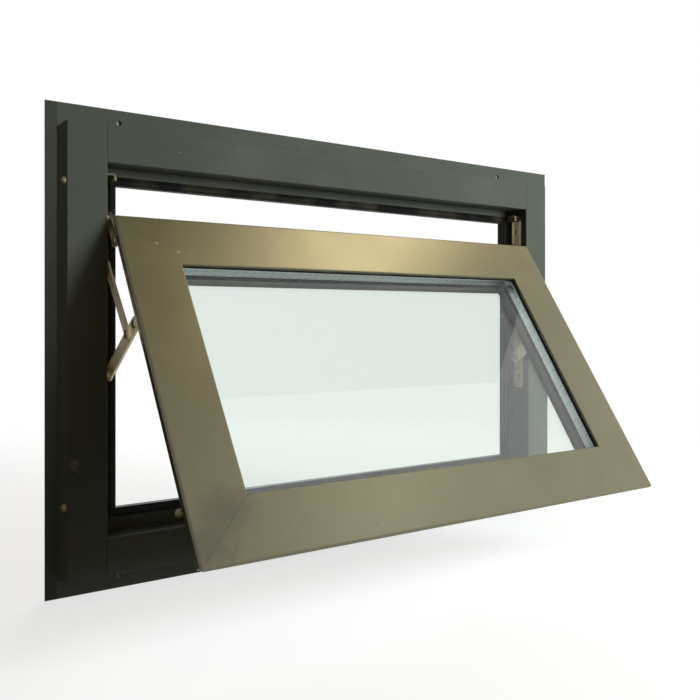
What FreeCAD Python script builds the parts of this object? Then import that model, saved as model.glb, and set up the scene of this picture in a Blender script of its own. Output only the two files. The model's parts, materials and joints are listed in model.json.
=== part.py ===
"""Top hung awning window: a nail-fin aluminium frame, a mitred double-glazed sash and its friction stays.

Millimetres. +X runs along the sill, +Y goes into the wall, +Z is up. The origin lies on the back face of
the sill fin, the face that is drawn against the wall, midway between the jambs. The sash stands open
at the angle that its stays hold.
"""
import FreeCAD, Part
import math
import os
from FreeCAD import Placement, Rotation, Vector

# Frame: overall box and nailing fins
frame_width = 711.0
frame_height = 468.0
jamb_face = 42.0
rail_face = 38.5
frame_wall = 2.0
frame_edge_radius = 1.2
front_projection = 35.0
back_depth = 21.0
fin_thickness = 2.0
fin_left = 12.0
fin_right = 38.0
fin_top = 26.0
fin_bottom = 26.0
fin_leg = 16.0
nail_hole_diameter = 6.0
nail_hole_offset = 12.0
nail_hole_spacing = 578.0

# Frame stop that the sash closes on, and its weather gasket
stop_setback = 31.0
stop_thickness = 8.5
stop_height = 19.0
sill_stop_height = 24.0
gasket_width = 10.0
gasket_height = 3.0
gasket_round = 1.3

# Sash section: lip, hollow body, inner step and glazing leg
sash_gap = 4.5
sash_face = 61.5
sash_lip = 9.0
lip_thickness = 3.0
sash_shoulder = 28.0
sash_step = 24.0
sash_depth = 44.0
sash_wall = 2.0
sash_edge_radius = 1.2
sash_rim_radius = 2.6
sash_corner_radius = 4.0
mitre_joint = 0.12
glazing_leg = 3.5
pocket_depth = 15.5

# Double glazing
glass_thickness = 5.0
glass_gap = 12.0
glass_edge_clearance = 3.0
outer_gasket = 2.5
inner_gasket = 2.0
glazing_gasket_cover = 6.5
spacer_width = 8.0
spacer_inset = 4.0
bead_cover = 1.0
bead_wall = 1.5
bead_chamfer = 2.5

# Friction stay: pivots are set by the closed window, depths from the sash's outer face
open_angle = 33.5
track_depth = 18.0
bar_depth = 19.0
top_pivot_drop = 20.0
support_pivot_drop = 124.0
top_anchor_drop = 51.2
support_anchor_drop = 216.2
link_length = 94.0
link_share = 0.80
track_length = 250.0
track_top_gap = 16.5
track_width = 16.0
track_height = 3.0
track_wall = 1.5
slider_length = 34.0
slider_height = 4.5
slider_clearance = 0.2
end_cap_length = 8.5
end_cap_height = 13.0
end_cap_round = 7.0
end_cap_wall = 2.5
end_cap_mouth = 5.5
arm_width = 16.0
top_arm_width = 14.0
link_width = 11.0
link_thickness = 2.2
arm_thickness = 2.4
bar_thickness = 2.0
bar_width = 10.0
bar_overrun = 22.0
rivet_radius = 2.5
rivet_clearance = 0.05
rivet_head_radius = 4.5
rivet_head_height = 1.0
rivet_collar_radius = 5.0

# Cam handle on the inside of the bottom rail, and its keeper on the sill
handle_base_length = 64.0
handle_base_width = 18.0
handle_base_height = 9.0
handle_base_round = 8.0
handle_neck_radius = 8.0
handle_neck_height = 8.0
lever_length = 96.0
lever_root_radius = 9.0
lever_tip_radius = 6.5
lever_thickness = 9.0
lever_edge_radius = 2.0
keeper_length = 42.0
keeper_width = 10.0
keeper_height = 9.0
keeper_nose = 4.0

# Nylon screw caps on the jamb flanks and bumpers on the sill stop
cap_diameter = 8.5
cap_height = 4.2
cap_spread = 332.0
cap_rise = 7.0
cap_setback = 5.2
bumper_diameter = 11.0
bumper_height = 2.6
bumper_spread = 441.0
bumper_clearance = 0.3

# Places worked out from the sizes above
box_left = -frame_width / 2
box_right = frame_width / 2
box_bottom = fin_bottom / 2
box_top = box_bottom + frame_height
fin_low = box_bottom - fin_bottom
fin_high = box_top + fin_top
front_y = -(fin_thickness + front_projection)
back_y = back_depth
stop_front = front_y + stop_setback
stop_back = stop_front + stop_thickness
opening_half = frame_width / 2 - jamb_face
opening_low = box_bottom + rail_face
opening_high = box_top - rail_face
sash_width = 2 * (opening_half - sash_gap)
sash_height = opening_high - opening_low - 2 * sash_gap
closed_top = opening_high - sash_gap
pocket_floor = sash_face - pocket_depth
glass_edge = pocket_floor + glass_edge_clearance
outer_pane_front = glazing_leg + outer_gasket
inner_pane_front = outer_pane_front + glass_thickness + glass_gap
bead_front = inner_pane_front + glass_thickness + inner_gasket
stay_space = sash_gap + sash_lip
link_low = slider_height
arm_low = link_low + link_thickness
arm_high = arm_low + arm_thickness
bar_low = stay_space - bar_thickness


def save(name, shape):
    """Write one piece as parts/NAME.step."""
    shape.exportStep(os.path.join("parts", name + ".step"))


def outline(corners, place):
    """Closed wire through (a, b, radius) corners, each rounded by a tangent arc.

    place(a, b) puts a point of the outline in space.
    """
    starts, ends, middles = [], [], []
    count = len(corners)
    for i, (a, b, radius) in enumerate(corners):
        here = Vector(a, b, 0)
        to_last = (Vector(*corners[i - 1][:2], 0) - here).normalize()
        to_next = (Vector(*corners[(i + 1) % count][:2], 0) - here).normalize()
        half = to_last.getAngle(to_next) / 2
        setback = radius / math.tan(half)
        bisector = (to_last + to_next).normalize()
        starts.append(here + to_last * setback)
        ends.append(here + to_next * setback)
        middles.append(here + bisector * (radius / math.sin(half) - radius))
    edges = []
    for i in range(count):
        first, last, middle = [place(p.x, p.y) for p in (starts[i], ends[i], middles[i])]
        if corners[i][2] > 0:
            edges.append(Part.Arc(first, middle, last).toShape())
        following = starts[(i + 1) % count]
        edges.append(Part.makeLine(last, place(following.x, following.y)))
    return Part.Wire(edges)


def prism(corners, place, direction):
    """Solid made by carrying a rounded outline along a direction."""
    return Part.Face(outline(corners, place)).extrude(direction)


def rectangle(a0, b0, a1, b1, radius=0.0):
    """Corners of a rectangle, all with one radius."""
    return [(a0, b0, radius), (a1, b0, radius), (a1, b1, radius), (a0, b1, radius)]


def box(low, high):
    """Box between two corners."""
    size = Vector(*high) - Vector(*low)
    return Part.makeBox(size.x, size.y, size.z, Vector(*low))


def x_cylinder(radius, x0, x1, y, z):
    """Cylinder along X between two stations."""
    return Part.makeCylinder(radius, abs(x1 - x0), Vector(min(x0, x1), y, z), Vector(1, 0, 0))


def dome(diameter, height, base, axis):
    """Spherical cap on a flat seat."""
    radius = diameter / 2
    sphere_radius = (radius * radius + height * height) / (2 * height)
    top = Vector(0, 0, height)
    middle_angle = math.asin(radius / sphere_radius) / 2
    drop = sphere_radius * (1 - math.cos(middle_angle))
    middle = Vector(sphere_radius * math.sin(middle_angle), 0, height - drop)
    rim = Vector(radius, 0, 0)
    edges = [
        Part.makeLine(Vector(0, 0, 0), rim),
        Part.Arc(rim, middle, top).toShape(),
        Part.makeLine(top, Vector(0, 0, 0)),
    ]
    solid = Part.Face(Part.Wire(edges)).revolve(Vector(0, 0, 0), Vector(0, 0, 1), 360)
    solid.Placement = Placement(base, Rotation(Vector(0, 0, 1), axis))
    return solid


def frame_member(face, stop, start, end, stop_start, stop_end, place):
    """Hollow frame extrusion: a two-chamber box and the hollow stop that stands in from it.

    place(u, y, along) turns a section point, u inwards from the outer flank, into space.
    """
    def bar(corners, first, last):
        run = place(0, 0, last) - place(0, 0, first)
        return prism(corners, lambda u, y: place(u, y, first), run)

    wall = frame_wall
    section = [
        (0, front_y, frame_edge_radius),
        (face, front_y, frame_edge_radius),
        (face, back_y, 0),
        (0, back_y, 0),
    ]
    front_chamber = rectangle(wall, front_y + wall, face - wall, stop_front - wall / 2)
    back_chamber = rectangle(wall, stop_front + wall / 2, face - wall, back_y - wall)
    upstand = rectangle(face, stop_front, face + stop, stop_back)
    upstand_chamber = rectangle(face + wall, stop_front + wall, face + stop - wall, stop_back - wall)
    body = bar(section, start, end).cut([bar(front_chamber, start, end), bar(back_chamber, start, end)])
    rib = bar(upstand, stop_start, stop_end).cut(bar(upstand_chamber, stop_start, stop_end))
    return body.fuse(rib).removeSplitter()


def make_frame():
    """Jambs run through from top to bottom, the head and the sill stand between them."""
    half = opening_half
    stops = (opening_low + sill_stop_height, opening_high - stop_height)
    upright = (jamb_face, stop_height, box_bottom, box_top) + stops
    save("frame_left_jamb", frame_member(*upright, lambda u, y, a: Vector(box_left + u, y, a)))
    save("frame_right_jamb", frame_member(*upright, lambda u, y, a: Vector(box_right - u, y, a)))
    level = (-half, half, -half, half)
    head = frame_member(rail_face, stop_height, *level, lambda u, y, a: Vector(a, y, box_top - u))
    sill = frame_member(rail_face, sill_stop_height, *level, lambda u, y, a: Vector(a, y, box_bottom + u))
    save("frame_head", head)
    save("frame_sill", sill)


def make_fins():
    """L-shaped nailing fins: the flange lies on the wall and the leg lies on the frame's outer flank."""
    def angle(width, place, run):
        flank = [
            (0, -fin_thickness, 0),
            (0, fin_leg, 0),
            (-fin_thickness, fin_leg, 0),
            (-fin_thickness, 0, 0),
            (-width, 0, 0),
            (-width, -fin_thickness, 0),
        ]
        return prism(flank, place, run)

    tall = Vector(0, 0, fin_high - fin_low)
    wide = Vector(frame_width, 0, 0)
    save("left_fin", angle(fin_left, lambda u, y: Vector(box_left + u, y, fin_low), tall))
    save("right_fin", angle(fin_right, lambda u, y: Vector(box_right - u, y, fin_low), tall))
    head = angle(fin_top, lambda u, y: Vector(box_left, y, box_top - u), wide)
    sill = angle(fin_bottom, lambda u, y: Vector(box_left, y, box_bottom + u), wide)
    head_holes = box_top + nail_hole_offset
    sill_holes = box_bottom - nail_hole_offset
    for name, fin, hole_z in (("head_fin", head, head_holes), ("sill_fin", sill, sill_holes)):
        seats = [Vector(side * nail_hole_spacing / 2, -fin_thickness, hole_z) for side in (-1, 1)]
        holes = [Part.makeCylinder(nail_hole_diameter / 2, fin_thickness, p, Vector(0, 1, 0)) for p in seats]
        save(name, fin.cut(holes))


def make_frame_gasket():
    """Weather gasket along the edge of the stop, with rounded front edges."""
    x = opening_half - stop_height
    z0 = opening_low + sill_stop_height
    z1 = opening_high - stop_height
    y0 = stop_front - gasket_height
    w = gasket_width
    outer = box((-x - w, y0, z0 - w), (x + w, stop_front, z1 + w))
    ring = outer.cut(box((-x, y0, z0), (x, stop_front, z1)))
    rims = [e for e in ring.Edges if all(abs(v.Y - y0) < 1e-6 for v in e.Vertexes)]
    save("frame_gasket", ring.makeFillet(gasket_round, rims))


def sash_pose():
    """Top edge of the open sash's outer face, as (y, z), from the four-bar linkage of the stay.

    Two arms of fixed length hold the sash bar: each runs from an anchor on the track to a pivot on the
    bar. Their lengths are those that lie closed, so the upper pivot is where two circles cross once the
    sash has turned.
    """
    turn = math.radians(open_angle)
    track_y = front_y + track_depth
    bar_y = front_y + bar_depth
    top_anchor = Vector(0, track_y, closed_top - top_anchor_drop)
    support_anchor = Vector(0, track_y, closed_top - support_anchor_drop)
    top_arm = (Vector(0, bar_y, closed_top - top_pivot_drop) - top_anchor).Length
    support_arm = (Vector(0, bar_y, closed_top - support_pivot_drop) - support_anchor).Length
    down = Vector(0, -math.sin(turn), -math.cos(turn))
    inward = Vector(0, math.cos(turn), -math.sin(turn))
    shifted = support_anchor - down * (support_pivot_drop - top_pivot_drop)
    between = shifted - top_anchor
    along = (top_arm ** 2 - support_arm ** 2 + between.Length ** 2) / (2 * between.Length)
    across = math.sqrt(top_arm ** 2 - along ** 2)
    unit = Vector(between).normalize()
    outward = Vector(0, -abs(unit.z), unit.y * math.copysign(1.0, unit.z))
    top_pivot = top_anchor + unit * along + outward * across
    edge = top_pivot - down * top_pivot_drop - inward * bar_depth
    return edge, down, inward


sash_edge, sash_down, sash_inward = sash_pose()
sash_placement = Placement(sash_edge, Rotation(Vector(1, 0, 0), -open_angle))


def on_sash(shape):
    """Carry a solid from the sash's own frame to its open place.

    In its own frame, y runs in from the sash's outer face and z up from its top edge.
    """
    shape.Placement = sash_placement.multiply(shape.Placement)
    return shape


def sash_point(drop, depth):
    """Point in the plane of the stay, from its distance below the sash's top and behind its outer face."""
    return sash_edge + sash_down * drop + sash_inward * depth


def sash_sides():
    """The four sash sides, each with its name, its length and its place(w, t, along).

    w runs inwards from the sash's edge and t in from its outer face.
    """
    half = sash_width / 2
    return [
        ("sash_top_rail", sash_width, lambda w, t, a: Vector(a - half, t, -w)),
        ("sash_bottom_rail", sash_width, lambda w, t, a: Vector(a - half, t, w - sash_height)),
        ("sash_left_stile", sash_height, lambda w, t, a: Vector(w - half, t, -a)),
        ("sash_right_stile", sash_height, lambda w, t, a: Vector(half - w, t, -a)),
    ]


def make_sash():
    """Hollow sash extrusions, mitred at the corners with a hairline joint and rounded off where two meet."""
    wall = sash_wall
    section = [
        (0, 0, sash_rim_radius),
        (sash_face, 0, sash_edge_radius),
        (sash_face, glazing_leg, 0),
        (pocket_floor, glazing_leg, 0),
        (pocket_floor, sash_depth, 0),
        (sash_step, sash_depth, 0),
        (sash_step, sash_shoulder, 0),
        (sash_lip, sash_shoulder, 0),
        (sash_lip, lip_thickness, 0),
        (0, lip_thickness, 0),
    ]
    chambers = [
        rectangle(sash_lip + wall, wall, pocket_floor - wall, sash_shoulder - wall),
        rectangle(sash_step + wall, sash_shoulder, pocket_floor - wall, sash_depth - wall),
    ]
    half = sash_width / 2
    relief = mitre_joint / math.sqrt(2)
    corners = rectangle(-half, -sash_height, half, 0, sash_corner_radius)
    blank = prism(corners, lambda x, z: Vector(x, 0, z), Vector(0, sash_depth, 0))
    for name, length, place in sash_sides():
        run = place(0, 0, length) - place(0, 0, 0)
        side = prism(section, lambda w, t: place(w, t, 0), run)
        side = side.cut([prism(c, lambda w, t: place(w, t, 0), run) for c in chambers])
        mitre = [
            (0, relief, 0),
            (0, length - relief, 0),
            (sash_face, length - sash_face - relief, 0),
            (sash_face, sash_face + relief, 0),
        ]
        wedge = prism(mitre, lambda w, a: place(w, 0, a), Vector(0, sash_depth, 0))
        save(name, on_sash(side.common(wedge).common(blank)))


def sash_ring(outer, inner, front, back):
    """Rectangular ring in the sash, given by its distances in from the sash's edge."""
    half = sash_width / 2
    solid = box((outer - half, front, outer - sash_height), (half - outer, back, -outer))
    return solid.cut(box((inner - half, front, inner - sash_height), (half - inner, back, -inner)))


def make_glazing():
    """Two panes held apart by a spacer bar, bedded on gaskets between the glazing leg and the beads."""
    half = sash_width / 2
    for name, front in (("outer_glass_pane", outer_pane_front), ("inner_glass_pane", inner_pane_front)):
        low = (glass_edge - half, front, glass_edge - sash_height)
        high = (half - glass_edge, front + glass_thickness, -glass_edge)
        save(name, on_sash(box(low, high)))
    spacer_edge = glass_edge + spacer_inset
    spacer_front = outer_pane_front + glass_thickness
    spacer = sash_ring(spacer_edge, spacer_edge + spacer_width, spacer_front, inner_pane_front)
    save("glazing_spacer", on_sash(spacer))
    cover = sash_face - glazing_gasket_cover
    save("outer_glazing_gasket", on_sash(sash_ring(cover, sash_face, glazing_leg, outer_pane_front)))
    pane_back = inner_pane_front + glass_thickness
    save("inner_glazing_gasket", on_sash(sash_ring(cover, sash_face, pane_back, bead_front)))


def make_beads():
    """Hollow glazing beads on the inside: the long ones run through, the short ones stand between them."""
    inner = sash_face + bead_cover
    section = [
        (pocket_floor, bead_front, 0),
        (inner, bead_front, 0),
        (inner, sash_depth - bead_chamfer, 0),
        (inner - bead_chamfer, sash_depth, 0),
        (pocket_floor, sash_depth, 0),
    ]
    hollow = rectangle(
        pocket_floor + bead_wall,
        bead_front + bead_wall,
        inner - bead_chamfer - bead_wall,
        sash_depth - bead_wall,
    )
    ends = {"sash_top_rail": pocket_floor, "sash_bottom_rail": pocket_floor}
    for name, length, place in sash_sides():
        start = ends.get(name, inner)
        run = place(0, 0, length - start) - place(0, 0, start)
        bead = prism(section, lambda w, t: place(w, t, start), run)
        bead = bead.cut(prism(hollow, lambda w, t: place(w, t, start), run))
        side = name.split("_")[1]
        save("glazing_bead_" + side, on_sash(bead))


def stay_place(side):
    """X of a height above the jamb's reveal, on the left (-1) or right (1) stay."""
    return lambda height: side * (opening_half - height)


def strap(first, last, width, x0, x1, holes):
    """Flat bar with round ends between two pivots, drilled for its rivets."""
    low = min(x0, x1)
    axis = (last - first).normalize()
    side = Vector(0, -axis.z, axis.y) * (width / 2)
    cap = axis * (width / 2)
    at = Vector(low, 0, 0)
    edges = [
        Part.makeLine(at + first + side, at + last + side),
        Part.Arc(at + last + side, at + last + cap, at + last - side).toShape(),
        Part.makeLine(at + last - side, at + first - side),
        Part.Arc(at + first - side, at + first - cap, at + first + side).toShape(),
    ]
    solid = Part.Face(Part.Wire(edges)).extrude(Vector(abs(x1 - x0), 0, 0))
    bores = [x_cylinder(rivet_radius + rivet_clearance, x0, x1, p.y, p.z) for p in holes]
    return solid.cut(bores)


def rivet(x_of, pivot, spans):
    """Rivet along X: spans of (radius, low height, high height) stacked on one axis."""
    parts = [x_cylinder(radius, x_of(low), x_of(high), pivot.y, pivot.z) for radius, low, high in spans]
    return parts[0].fuse(parts[1:]).removeSplitter()


def make_stay(side_name, side):
    """One friction stay: track on the jamb, sliding shoe, two arms and a link, and the bar on the sash.

    The end cap over the track has a mouth that takes the bar's tip when the sash shuts.
    """
    x_of = stay_place(side)
    track_y = front_y + track_depth
    top_anchor = Vector(0, track_y, closed_top - top_anchor_drop)
    support_anchor = Vector(0, track_y, closed_top - support_anchor_drop)
    top_pivot = sash_point(top_pivot_drop, bar_depth)
    support_pivot = sash_point(support_pivot_drop, bar_depth)
    link_pivot = support_anchor + (support_pivot - support_anchor) * link_share
    slider_rise = math.sqrt(link_length ** 2 - (track_y - link_pivot.y) ** 2)
    slider_pivot = Vector(0, track_y, link_pivot.z + slider_rise)

    half = track_width / 2
    track_top = opening_high - track_top_gap
    channel = [
        (0, -half, 0),
        (0, half, 0),
        (track_height, half, 0),
        (track_height, half - track_wall, 0),
        (track_wall, half - track_wall, 0),
        (track_wall, track_wall - half, 0),
        (track_height, track_wall - half, 0),
        (track_height, -half, 0),
    ]
    base = track_top - track_length
    track = prism(channel, lambda h, y: Vector(x_of(h), track_y + y, base), Vector(0, 0, track_length))
    bore = rivet_radius + rivet_clearance
    anchors = [x_cylinder(bore, x_of(0), x_of(track_wall), p.y, p.z) for p in (top_anchor, support_anchor)]
    save(side_name + "_stay_track", track.cut(anchors))

    cap = [
        (-half, track_top, 0),
        (half, track_top, 0),
        (half, track_top + end_cap_length, end_cap_round),
        (-half, track_top + end_cap_length, end_cap_round),
    ]
    cap_run = Vector(x_of(end_cap_height) - x_of(0), 0, 0)
    block = prism(cap, lambda y, z: Vector(x_of(0), track_y + y, z), cap_run)
    mouth = rectangle(track_height, track_top, end_cap_height - end_cap_wall, track_top + end_cap_mouth)
    mouth = prism(mouth, lambda h, z: Vector(x_of(h), track_y - half, z), Vector(0, track_width, 0))
    save(side_name + "_stay_end_cap", block.cut(mouth))

    shoe_half = half - track_wall - slider_clearance
    shoe_low, shoe_high = sorted((x_of(track_wall), x_of(slider_height)))
    shoe = box(
        (shoe_low, track_y - shoe_half, slider_pivot.z - slider_length / 2),
        (shoe_high, track_y + shoe_half, slider_pivot.z + slider_length / 2),
    )
    shoe = shoe.cut(x_cylinder(bore, shoe_low, shoe_high, slider_pivot.y, slider_pivot.z))
    save(side_name + "_stay_slider", shoe)

    arm_layer = (x_of(arm_low), x_of(arm_high))
    link_layer = (x_of(link_low), x_of(arm_low))
    bar_layer = (x_of(bar_low), x_of(stay_space))
    bar_end = sash_point(support_pivot_drop + bar_overrun, bar_depth)
    top_arm = strap(top_anchor, top_pivot, top_arm_width, *arm_layer, [top_anchor, top_pivot])
    arm_holes = [support_anchor, link_pivot, support_pivot]
    support_arm = strap(support_anchor, support_pivot, arm_width, *arm_layer, arm_holes)
    link_arm = strap(slider_pivot, link_pivot, link_width, *link_layer, [slider_pivot, link_pivot])
    sash_bar = strap(top_pivot, bar_end, bar_width, *bar_layer, [top_pivot, support_pivot])
    save(side_name + "_stay_top_arm", top_arm)
    save(side_name + "_stay_support_arm", support_arm)
    save(side_name + "_stay_link_arm", link_arm)
    save(side_name + "_stay_sash_bar", sash_bar)

    head, collar = rivet_head_radius, rivet_collar_radius
    tip = arm_high + rivet_head_height
    anchor_spans = [
        (rivet_radius, 0, arm_high),
        (collar, track_wall, arm_low),
        (head, arm_high, tip),
    ]
    bar_spans = [
        (head, arm_low - rivet_head_height, arm_low),
        (rivet_radius, arm_low, stay_space),
        (collar, arm_high, bar_low),
    ]
    shoe_spans = [(rivet_radius, track_wall, arm_low), (head, arm_low, arm_low + rivet_head_height)]
    link_spans = [
        (head, link_low - rivet_head_height, link_low),
        (rivet_radius, link_low, arm_high),
        (head, arm_high, tip),
    ]
    rivets = [
        rivet(x_of, top_anchor, anchor_spans),
        rivet(x_of, support_anchor, anchor_spans),
        rivet(x_of, top_pivot, bar_spans),
        rivet(x_of, support_pivot, bar_spans),
        rivet(x_of, slider_pivot, shoe_spans),
        rivet(x_of, link_pivot, link_spans),
    ]
    save(side_name + "_stay_rivets", Part.makeCompound(rivets))


def make_handle():
    """Cam handle in the middle of the bottom rail's inner face, and its keeper behind the sill stop."""
    rail_middle = (sash_step + pocket_floor) / 2 - sash_height
    half_length = handle_base_length / 2
    half_width = handle_base_width / 2
    low, high = rail_middle - half_width, rail_middle + half_width
    plate = rectangle(-half_length, low, half_length, high, handle_base_round)
    foot = prism(plate, lambda x, z: Vector(x, sash_depth, z), Vector(0, handle_base_height, 0))
    inward = Vector(0, 1, 0)
    neck_seat = Vector(0, sash_depth + handle_base_height, rail_middle)
    neck = Part.makeCylinder(handle_neck_radius, handle_neck_height, neck_seat, inward)
    save("handle_base", on_sash(foot.fuse(neck).removeSplitter()))

    root = neck_seat + inward * handle_neck_height
    tip = root + Vector(lever_length, 0, 0)
    lean = math.asin((lever_root_radius - lever_tip_radius) / lever_length)
    up = Vector(math.sin(lean), 0, math.cos(lean))
    down = Vector(math.sin(lean), 0, -math.cos(lean))
    root_high, root_low = root + up * lever_root_radius, root + down * lever_root_radius
    tip_high, tip_low = tip + up * lever_tip_radius, tip + down * lever_tip_radius
    root_end, tip_end = root - Vector(lever_root_radius, 0, 0), tip + Vector(lever_tip_radius, 0, 0)
    edges = [
        Part.makeLine(root_high, tip_high),
        Part.Arc(tip_high, tip_end, tip_low).toShape(),
        Part.makeLine(tip_low, root_low),
        Part.Arc(root_low, root_end, root_high).toShape(),
    ]
    lever = Part.Face(Part.Wire(edges)).extrude(inward * lever_thickness)
    inner_y = root.y + lever_thickness
    rim = [e for e in lever.Edges if all(abs(v.Y - inner_y) < 1e-6 for v in e.Vertexes)]
    save("handle_lever", on_sash(lever.makeFillet(lever_edge_radius, rim)))

    section = [
        (stop_back, opening_low, 0),
        (stop_back + keeper_width, opening_low, 0),
        (stop_back + keeper_width, opening_low + keeper_height - keeper_nose, 0),
        (stop_back + keeper_width - keeper_nose, opening_low + keeper_height, 0),
        (stop_back, opening_low + keeper_height, 0),
    ]
    keeper = prism(section, lambda y, z: Vector(-keeper_length / 2, y, z), Vector(keeper_length, 0, 0))
    save("handle_keeper", keeper)


def make_caps():
    """Nylon caps over the fixing screws in the jamb flanks, and bumpers on the sill stop below its gasket."""
    middle = (box_bottom + box_top) / 2 + cap_rise
    for name, x, axis in (("left_jamb_caps", box_left, -1), ("right_jamb_caps", box_right, 1)):
        seats = [Vector(x, front_y + cap_setback, middle + s * cap_spread / 2) for s in (-1, 1)]
        caps = [dome(cap_diameter, cap_height, seat, Vector(axis, 0, 0)) for seat in seats]
        save(name, Part.makeCompound(caps))
    gasket_low = opening_low + sill_stop_height - gasket_width
    bumper_z = gasket_low - bumper_clearance - bumper_diameter / 2
    seats = [Vector(s * bumper_spread / 2, stop_front, bumper_z) for s in (-1, 1)]
    bumpers = [dome(bumper_diameter, bumper_height, seat, Vector(0, -1, 0)) for seat in seats]
    save("sill_bumpers", Part.makeCompound(bumpers))


os.makedirs("parts", exist_ok=True)
make_frame()
make_fins()
make_frame_gasket()
make_sash()
make_glazing()
make_beads()
for stay_side, sign in (("left", -1), ("right", 1)):
    make_stay(stay_side, sign)
make_handle()
make_caps()
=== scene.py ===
"""Finishes, gaskets, fixings and studio for a top hung awning window.

Metres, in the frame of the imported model: +X along the sill, +Y into the wall, +Z up. Rigid pieces keep their
solids and get their coats here. Gaskets, the spacer bar, rivet heads and screws are made as surfaces.
"""
import json
import math

import bpy
import numpy as np
from bpy.props import FloatProperty, FloatVectorProperty, IntProperty, PointerProperty
from bpy.types import Operator, Panel, PropertyGroup
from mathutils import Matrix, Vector


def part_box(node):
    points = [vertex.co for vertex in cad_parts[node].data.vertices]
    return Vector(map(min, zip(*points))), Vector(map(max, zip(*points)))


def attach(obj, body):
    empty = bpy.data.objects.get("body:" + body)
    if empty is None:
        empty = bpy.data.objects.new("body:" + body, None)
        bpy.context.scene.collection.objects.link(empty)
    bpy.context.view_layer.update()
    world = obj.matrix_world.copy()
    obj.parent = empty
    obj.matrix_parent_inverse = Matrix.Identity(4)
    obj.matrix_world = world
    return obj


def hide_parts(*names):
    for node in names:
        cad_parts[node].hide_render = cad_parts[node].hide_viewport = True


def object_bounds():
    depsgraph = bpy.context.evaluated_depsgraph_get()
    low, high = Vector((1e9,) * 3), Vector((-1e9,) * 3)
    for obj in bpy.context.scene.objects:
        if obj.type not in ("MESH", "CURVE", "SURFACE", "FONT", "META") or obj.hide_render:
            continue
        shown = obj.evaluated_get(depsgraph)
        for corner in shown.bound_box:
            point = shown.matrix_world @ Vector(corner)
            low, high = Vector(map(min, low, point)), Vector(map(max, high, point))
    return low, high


bl_info = {
    "name": "Awning window dresser",
    "version": (1, 0, 0),
    "blender": (4, 5, 0),
    "location": "View3D > Sidebar > Window",
    "description": "Dresses a packed awning window with its finishes, seals and fixings",
    "category": "Object",
}

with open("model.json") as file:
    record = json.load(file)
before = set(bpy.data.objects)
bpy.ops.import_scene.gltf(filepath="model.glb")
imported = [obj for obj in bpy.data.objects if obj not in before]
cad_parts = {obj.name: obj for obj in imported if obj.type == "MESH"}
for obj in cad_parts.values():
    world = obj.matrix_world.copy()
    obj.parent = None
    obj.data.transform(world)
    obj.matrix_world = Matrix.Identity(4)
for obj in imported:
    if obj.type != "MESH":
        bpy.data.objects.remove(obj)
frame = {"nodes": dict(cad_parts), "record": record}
CAD_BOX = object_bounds()
NODES = frame["nodes"]
MM = 0.001
BODY = "root"
SIDES = ("left", "right")
SHARP_ANGLE = math.radians(35)


def linear(code):
    """Linear colour of an sRGB hex code: c / 12.92 up to 0.04045, and ((c + 0.055) / 1.055) ** 2.4 above."""
    values = [int(code[i:i + 2], 16) / 255 for i in (1, 3, 5)]
    return tuple(c / 12.92 if c <= 0.04045 else ((c + 0.055) / 1.055) ** 2.4 for c in values)


def points_of(node):
    """Corners of a solid's mesh as an array of points."""
    mesh = NODES[node].data
    points = np.empty(len(mesh.vertices) * 3)
    mesh.vertices.foreach_get("co", points)
    return points.reshape(-1, 3)


class SashFrame:
    """Axes of the open sash: x across, s down from its top edge and t in from its outer face.

    The pane's corners give the three directions, because their spread is largest across, then down, then
    through. The rails give the top edge, the outer face and the size.
    """

    def __init__(self):
        corners = np.unique(np.round(points_of("outer_glass_pane"), 6), axis=0)
        axes = np.linalg.svd(corners - corners.mean(0), full_matrices=False)[2]
        across, down, inward = axes
        self.across = across * np.sign(across[0])
        self.down = -down * np.sign(down[2])
        self.inward = inward * np.sign(inward[1])
        self.axes = np.stack([self.across, self.down, self.inward])
        top, bottom = points_of("sash_top_rail"), points_of("sash_bottom_rail")
        self.origin = self.down * (top @ self.down).min() + self.inward * (top @ self.inward).min()
        self.height = (bottom @ self.down).max() - (top @ self.down).min()
        self.face = np.ptp(top @ self.down)
        stile = points_of("sash_right_stile")
        self.half = stile[:, 0].max()

    def place(self, x, s, t):
        """Points in space from the sash's own coordinates: origin + x across + s down + t inward."""
        return self.origin + np.stack(np.broadcast_arrays(x, s, t), -1) @ self.axes

    def span(self, node):
        """Lowest and highest (x, s, t) of a solid."""
        local = (points_of(node) - self.origin) @ self.axes.T
        return local.min(0), local.max(0)


SASH = SashFrame()


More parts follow.
